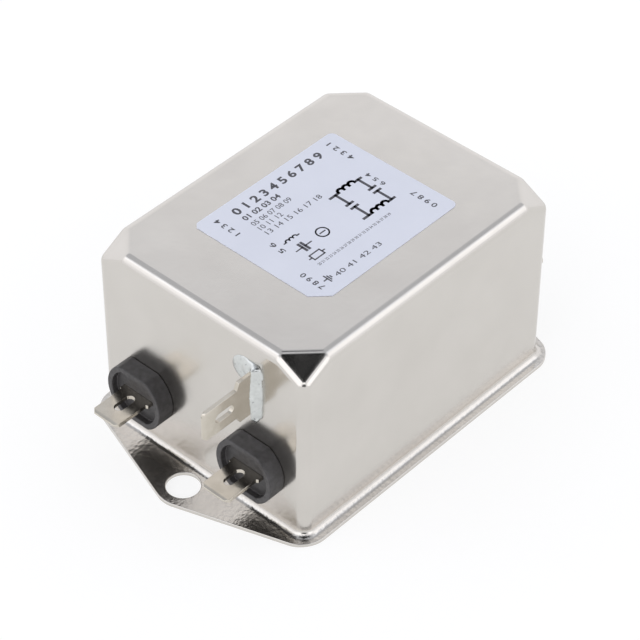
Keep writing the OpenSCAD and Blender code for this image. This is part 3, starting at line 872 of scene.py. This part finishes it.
# ---- Chokes ----
# Two coated ferrite rings, each with a winding for either line in enamelled
# copper. A plastic divider keeps the windings apart, and a holder stands the
# ring on the board.
coated_ferrite = make_finish(
    "coated_ferrite",
    (0.05, 0.16, 0.10),
    (0.07, 0.21, 0.13),
    grain=300,
    rough=(0.30, 0.42),
    relief=(700, 0.03),
)
enamelled_copper = make_finish(
    "enamelled_copper",
    (0.55, 0.22, 0.09),
    (0.70, 0.31, 0.13),
    grain=350,
    rough=(0.18, 0.30),
    relief=(1200, 0.005),
    metallic=1,
)
divider_board = make_finish(
    "divider_board",
    (0.70, 0.66, 0.55),
    (0.78, 0.74, 0.63),
    grain=500,
    rough=(0.50, 0.65),
    relief=(1600, 0.01),
)
holder_plastic = make_finish(
    "holder_plastic",
    (0.03, 0.03, 0.035),
    (0.05, 0.05, 0.055),
    grain=600,
    rough=(0.42, 0.55),
    relief=(3000, 0.01),
)
for end in ("line", "load"):
    dress(nodes[f"choke_{end}_core"], coated_ferrite)
    dress(nodes[f"choke_{end}_winding_p"], enamelled_copper)
    dress(nodes[f"choke_{end}_winding_n"], enamelled_copper)
    dress(nodes[f"choke_{end}_divider"], divider_board)
    dress(nodes[f"choke_{end}_holder"], holder_plastic)


# ---- Capacitors ----
# Three film capacitors in yellow boxes stand across the line, and a blue ceramic
# disc runs from either line to the can.
capacitor_box = make_finish(
    "capacitor_box",
    (0.72, 0.50, 0.06),
    (0.80, 0.58, 0.09),
    grain=250,
    rough=(0.35, 0.48),
    relief=(2200, 0.008),
)
ceramic_coating = make_finish(
    "ceramic_coating",
    (0.05, 0.18, 0.42),
    (0.08, 0.25, 0.52),
    grain=300,
    rough=(0.28, 0.40),
    relief=(800, 0.03),
)
for place_name in ("line", "middle", "load"):
    dress(nodes[f"x_capacitor_{place_name}"], capacitor_box)
for line_name in ("p", "n"):
    dress(nodes[f"y_capacitor_{line_name}"], ceramic_coating)


# ---- Bleed resistor ----
# Empties the capacitors when the mains goes off: a lacquered body that lies on
# the board beside the line terminals.
resistor_lacquer = make_finish(
    "resistor_lacquer",
    (0.30, 0.45, 0.55),
    (0.38, 0.54, 0.64),
    grain=500,
    rough=(0.30, 0.42),
    relief=(1500, 0.01),
)
dress(nodes["bleed_resistor"], resistor_lacquer)


# ---- Earth lead ----
# Stranded wire in green sleeving, soldered to the earth tab's tongue and led down
# to the board.
lead_sleeving = make_finish(
    "lead_sleeving",
    (0.10, 0.34, 0.05),
    (0.14, 0.42, 0.08),
    grain=400,
    rough=(0.40, 0.52),
    relief=(1800, 0.01),
)
dress(nodes["earth_lead"], lead_sleeving)


# ---- Insulating sheet ----
# Pressboard that lies on the base plate and keeps the board's solder side away
# from it.
pressboard = make_finish(
    "pressboard",
    (0.50, 0.44, 0.33),
    (0.60, 0.53, 0.41),
    grain=600,
    rough=(0.70, 0.85),
    relief=(2500, 0.02),
)
dress(nodes["insulating_sheet"], pressboard)


# ---- Base plate ----
# A pressed lid of tinned sheet with an upturned rim. It's pushed into the can's
# mouth when the inside is in place.
dress(nodes["base_plate"], tinned_steel)


# ---- Label ----
# Polyester film with its own glue, stuck on the can's top. Two of its corners are
# cut off and the other two are rounded.
LABEL_LENGTH = 36
LABEL_WIDTH = 30.3
LABEL_FILM = 0.12
LABEL_ROUND = 1.2
LABEL_CUT = 3
LABEL_SMALL_CUT = 0.9
LABEL_EDGE = 0.03
INK = 0.01
PRINT_LEVEL = CAN_HEIGHT + LABEL_FILM

deselect()
bpy.ops.mesh.primitive_plane_add(size=1, location=(0, 0, CAN_HEIGHT))
label = start_piece("label_film")
open_piece(label)
bpy.ops.mesh.select_all(action="SELECT")
bpy.ops.transform.resize(
    value=(LABEL_LENGTH, LABEL_WIDTH, 1), center_override=(0, 0, CAN_HEIGHT)
)
for way_x, way_y, reach, steps in (
    (-1, -1, LABEL_CUT, 1),
    (-1, 1, LABEL_SMALL_CUT, 1),
    (1, -1, LABEL_ROUND, 8),
    (1, 1, LABEL_ROUND, 8),
):
    pick(
        label,
        "VERT",
        lambda v: near(v.co.x, way_x * LABEL_LENGTH / 2)
        and near(v.co.y, way_y * LABEL_WIDTH / 2),
    )
    bpy.ops.mesh.bevel(affect="VERTICES", offset=reach, segments=steps)
close_piece()
modify(label, "SOLIDIFY", thickness=LABEL_FILM - INK, offset=1)
modify(
    label,
    "BEVEL",
    width=LABEL_EDGE,
    segments=2,
    limit_method="ANGLE",
    angle_limit=math.radians(60),
)
finish_piece(label)
label_film = make_finish(
    "label_film",
    (0.700, 0.725, 0.815),
    (0.725, 0.750, 0.840),
    grain=120,
    rough=(0.32, 0.42),
    relief=(1500, 0.002),
)
dress(label, label_film)
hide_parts("label")
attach(label, "root")


# ---- Print ----
# Dark ink on the label: plain numbers in rows and at the terminals, the earth
# sign, and the filter's circuit in symbols.
FINE_LINE = 0.28
BOLD_LINE = 0.55

deselect()
bpy.ops.object.add(type="MESH")
ink = start_piece("label_print")
open_piece(ink)


def draw_line(points, width):
    """Straight strokes from point to point, each run on to cover the joint."""
    for (x0, y0), (x1, y1) in zip(points, points[1:]):
        length = math.hypot(x1 - x0, y1 - y0)
        bpy.ops.mesh.primitive_cube_add(
            size=1,
            location=((x0 + x1) / 2, (y0 + y1) / 2, PRINT_LEVEL - INK),
            rotation=(0, 0, math.atan2(y1 - y0, x1 - x0)),
            scale=(length + width, width, 2 * INK),
        )


def arc(x, y, radius, start, end, steps=10):
    """Points along an arc between two angles in degrees."""
    turns = [math.radians(start + (end - start) * k / steps) for k in range(steps + 1)]
    return [(x + radius * math.cos(t), y + radius * math.sin(t)) for t in turns]


def draw_coil(x, y, width, line):
    radius = width / (2 * COIL_HUMPS)
    for k in range(COIL_HUMPS):
        draw_line(arc(x + (2 * k + 1) * radius, y, radius, 180, 0), line)


# The circuit: a coil in each line, and a capacitor across them on either side
CIRCUIT_LEFT = 4.6
CIRCUIT_RIGHT = 11.4
CIRCUIT_TOP = 2.4
CIRCUIT_FOOT = -5.6
COIL_WIDTH = 4.2
COIL_HUMPS = 3
PLATE_GAP = 1.2
PLATE_WIDTH = 1.5
circuit_middle = (CIRCUIT_LEFT + CIRCUIT_RIGHT) / 2
for y in (CIRCUIT_TOP, CIRCUIT_FOOT):
    coil_start = circuit_middle - COIL_WIDTH / 2
    draw_line([(CIRCUIT_LEFT - 0.9, y), (coil_start, y)], BOLD_LINE)
    draw_line([(coil_start + COIL_WIDTH, y), (CIRCUIT_RIGHT + 0.3, y)], BOLD_LINE)
    draw_coil(coil_start, y, COIL_WIDTH, BOLD_LINE)
plate_middle = (CIRCUIT_TOP + CIRCUIT_FOOT) / 2
for x in (CIRCUIT_LEFT + 0.4, CIRCUIT_RIGHT - 0.4):
    for y, way in ((CIRCUIT_TOP, 1), (CIRCUIT_FOOT, -1)):
        plate = plate_middle + way * PLATE_GAP / 2
        draw_line([(x, y), (x, plate)], BOLD_LINE)
        draw_line([(x - PLATE_WIDTH / 2, plate), (x + PLATE_WIDTH / 2, plate)], BOLD_LINE)

# Small signs in a column: a coil, a capacitor and a resistor, with a ring beside
SIGN_LEFT = -10.8
SIGN_RIGHT = -7.1
BODY_LEFT = -10.2
BODY_RIGHT = -7.7
COIL_LEVEL = 0
PLATES_LEVEL = -2.9
RESISTOR_LEVEL = -6
RING_X = -3.9
RING_LEVEL = -2.65
draw_line([(SIGN_LEFT, COIL_LEVEL), (-10.3, COIL_LEVEL)], FINE_LINE)
draw_coil(-10.3, COIL_LEVEL, 2.7, FINE_LINE)
draw_line([(-7.6, COIL_LEVEL), (SIGN_RIGHT, COIL_LEVEL)], FINE_LINE)
for x, end_x in ((-9.3, SIGN_LEFT), (-8.6, SIGN_RIGHT)):
    draw_line([(x, PLATES_LEVEL + 1), (x, PLATES_LEVEL - 1)], BOLD_LINE)
    draw_line([(x, PLATES_LEVEL), (end_x, PLATES_LEVEL)], FINE_LINE)
top, foot = RESISTOR_LEVEL + 0.7, RESISTOR_LEVEL - 0.7
draw_line(
    [
        (BODY_LEFT, top),
        (BODY_RIGHT, top),
        (BODY_RIGHT, foot),
        (BODY_LEFT, foot),
        (BODY_LEFT, top),
    ],
    FINE_LINE,
)
draw_line([(SIGN_LEFT, RESISTOR_LEVEL), (BODY_LEFT, RESISTOR_LEVEL)], FINE_LINE)
draw_line([(BODY_RIGHT, RESISTOR_LEVEL), (SIGN_RIGHT, RESISTOR_LEVEL)], FINE_LINE)
draw_line(arc(RING_X, RING_LEVEL, 1.2, 0, 360, 28), FINE_LINE)
draw_line([(RING_X - 0.6, RING_LEVEL), (RING_X + 0.6, RING_LEVEL)], FINE_LINE)

# The earth sign beside the earth tab
EARTH_SIGN_X = -12.4
EARTH_SIGN_Y = -11.6
for step, half in enumerate((0.9, 0.55, 0.2)):
    x = EARTH_SIGN_X + 0.42 * step
    draw_line([(x, EARTH_SIGN_Y - half), (x, EARTH_SIGN_Y + half)], FINE_LINE)
draw_line([(EARTH_SIGN_X - 0.8, EARTH_SIGN_Y), (EARTH_SIGN_X, EARTH_SIGN_Y)], FINE_LINE)
close_piece()
ink_pieces = [ink]


def print_numbers(words, start, end, level, height, weight, upright):
    """A row of figures in the built-in type, fitted between two places."""
    deselect()
    bpy.ops.object.text_add()
    row = bpy.context.object
    row.data.body = words
    row.data.offset = weight
    row.data.extrude = INK
    row.data.resolution_u = 3
    bpy.ops.object.convert(target="MESH")
    row = bpy.context.object
    low = Vector([min(v.co[k] for v in row.data.vertices) for k in range(3)])
    high = Vector([max(v.co[k] for v in row.data.vertices) for k in range(3)])
    size = high - low
    fit = Matrix.Diagonal(
        ((end - start) / size.x, height / size.y, 2 * INK / size.z, 1)
    ) @ Matrix.Translation(-(low + high) / 2)
    turn = Matrix.Rotation(math.pi / 2 if upright else 0, 4, "Z")
    centre = (start + end) / 2
    x, y = (level, centre) if upright else (centre, level)
    place = Matrix.Translation((x, y, PRINT_LEVEL - INK))
    row.data.transform(place @ turn @ fit)
    ink_pieces.append(row)


small_figures = " ".join(str(k) for k in range(20, 40))
for words, start, end, level, height, weight in (
    # figures, left and right end, level of the row, height and added weight
    ("0 1 2 3 4 5 6 7 8 9", -10.8, 11.9, 12.2, 2.0, 0.03),
    ("01 02 03 04", -10.8, -1.7, 9.8, 1.3, 0.025),
    ("05 06 07 08 09", -10.8, -1.0, 7.7, 1.15, 0),
    ("10 11 12", -10.8, -5.1, 6.0, 1.15, 0),
    ("13 14 15 16 17 18", -10.8, 3.2, 4.3, 1.15, 0),
    (small_figures, -10.8, 7.9, -8.0, 0.62, 0),
    ("40 41 42 43", -10.8, 0.8, -12.0, 1.05, 0),
):
    print_numbers(words, start, end, level, height, weight, upright=False)
for words, start, end, level, height in (
    # figures that read away from the near side, with the two ends along the width
    ("1 2 3 4", 7.6, 13.2, -14.4, 1.2),
    ("5 6", -1.5, 1.9, -12.4, 1.1),
    ("7 8 9 0", -12.7, -7.5, -14.6, 1.2),
    ("4 3 2 1", 7.0, 13.2, 14.9, 1.2),
    ("6 5 4", -2.0, 2.4, 13.2, 1.0),
    ("0 9 8 7", -12.7, -6.9, 14.9, 1.2),
):
    print_numbers(words, start, end, level, height, weight=0.015, upright=True)
ink = join_pieces(ink_pieces)
face_out(ink)
ink.data.transform(Matrix.Scale(MM, 4))
print_ink = make_finish(
    "print_ink",
    (0.050, 0.050, 0.062),
    (0.075, 0.075, 0.090),
    grain=1500,
    rough=(0.40, 0.55),
    relief=(3000, 0.003),
)
dress(ink, print_ink)
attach(ink, "root")


# ---- Floor and light ----
# A white sheet under the part in a white studio. The ceiling is greyer than the
# walls, soft boxes hang round the part, and black cards give its steel some darks.
FLOOR_GREY = 0.26
FLOOR_GLOW = 0.78
FLOOR_GAP = 0.02 * MM
CEILING_FROM = 37
CEILING_TO = 50
WALL_LEVEL = 1.14
CEILING_LEVEL = 0.66
WALL_TINT = (1, 1, 1.03)
CEILING_TINT = (0.97, 1, 1.07)
CARD_LEVEL = 0.005

deselect()
bpy.ops.mesh.primitive_plane_add(size=6, location=(0, 0, -FLOOR_GAP))
floor = start_piece("floor")
floor_paper, tree, shader, place = new_material("floor_paper")
shader.inputs["Base Color"].default_value = (FLOOR_GREY, FLOOR_GREY, FLOOR_GREY, 1)
shader.inputs["Roughness"].default_value = 1
shader.inputs["Specular IOR Level"].default_value = 0
shader.inputs["Emission Color"].default_value = (1, 1, 1, 1)
shader.inputs["Emission Strength"].default_value = FLOOR_GLOW
# From below the paper is clear, so that the base can be looked at
side = tree.nodes.new("ShaderNodeNewGeometry")
clear = tree.nodes.new("ShaderNodeBsdfTransparent")
either = tree.nodes.new("ShaderNodeMixShader")
tree.links.new(side.outputs["Backfacing"], either.inputs["Fac"])
tree.links.new(shader.outputs["BSDF"], either.inputs[1])
tree.links.new(clear.outputs["BSDF"], either.inputs[2])
tree.links.new(either.outputs["Shader"], tree.nodes["Material Output"].inputs["Surface"])
dress(floor, floor_paper)

studio = bpy.data.worlds.new("studio")
bpy.context.scene.world = studio
studio.use_nodes = True
tree = studio.node_tree
direction = tree.nodes.new("ShaderNodeTexCoord").outputs["Generated"]


def heading(azimuth, elevation):
    """The direction at these angles in degrees, from +X towards +Y and up."""
    azimuth, elevation = math.radians(azimuth), math.radians(elevation)
    level = math.cos(elevation)
    return Vector((level * math.cos(azimuth), level * math.sin(azimuth), math.sin(elevation)))


def soft_step(value, start, end, low, high):
    fit = tree.nodes.new("ShaderNodeMapRange")
    fit.interpolation_type = "SMOOTHSTEP"
    fit.inputs["From Min"].default_value = start
    fit.inputs["From Max"].default_value = end
    fit.inputs["To Min"].default_value = low
    fit.inputs["To Max"].default_value = high
    tree.links.new(value, fit.inputs["Value"])
    return fit.outputs["Result"]


def along(axis):
    """How closely a direction follows this axis: the cosine of the angle between."""
    dot = tree.nodes.new("ShaderNodeVectorMath")
    dot.operation = "DOT_PRODUCT"
    dot.inputs[1].default_value = axis
    tree.links.new(direction, dot.inputs[0])
    return dot.outputs["Value"]


ceiling_edge = (
    along((0, 0, 1)),
    math.sin(math.radians(CEILING_FROM)),
    math.sin(math.radians(CEILING_TO)),
)
level = soft_step(*ceiling_edge, WALL_LEVEL, CEILING_LEVEL)
tint = blend_colours(
    tree, soft_step(*ceiling_edge, 0, 1), (0, WALL_TINT), (1, CEILING_TINT)
)
soft_boxes = (
    # azimuth, elevation, inner and outer radius in degrees, and added level
    (129, 47, 0, 12, 0.70),
    (137, 38, 4, 28, 0.34),
    (-34, 45, 1, 15, 0.75),
    (-50, 28, 5, 16, 0.45),
    (180, 24, 12, 32, 0.60),
    (-84, 12, 10, 26, 0.60),
    (-133, 36, 6, 16, 0.80),
    (50, 84, 0, 7, 0.50),
)
for azimuth, elevation, inner, outer, gain in soft_boxes:
    box = soft_step(
        along(heading(azimuth, elevation)),
        math.cos(math.radians(outer)),
        math.cos(math.radians(inner)),
        0,
        gain,
    )
    level = join_values(tree, "ADD", level, box)
black_cards = (
    # azimuth, elevation, inner and outer radius in degrees
    (-130, 66, 20, 23),
    (-133, 8, 15, 20),
    (50, 68, 4, 9),
)
for azimuth, elevation, inner, outer in black_cards:
    card = soft_step(
        along(heading(azimuth, elevation)),
        math.cos(math.radians(outer)),
        math.cos(math.radians(inner)),
        1,
        CARD_LEVEL,
    )
    level = join_values(tree, "MULTIPLY", level, card)
tree.links.new(level, tree.nodes["Background"].inputs["Strength"])
tree.links.new(tint, tree.nodes["Background"].inputs["Color"])
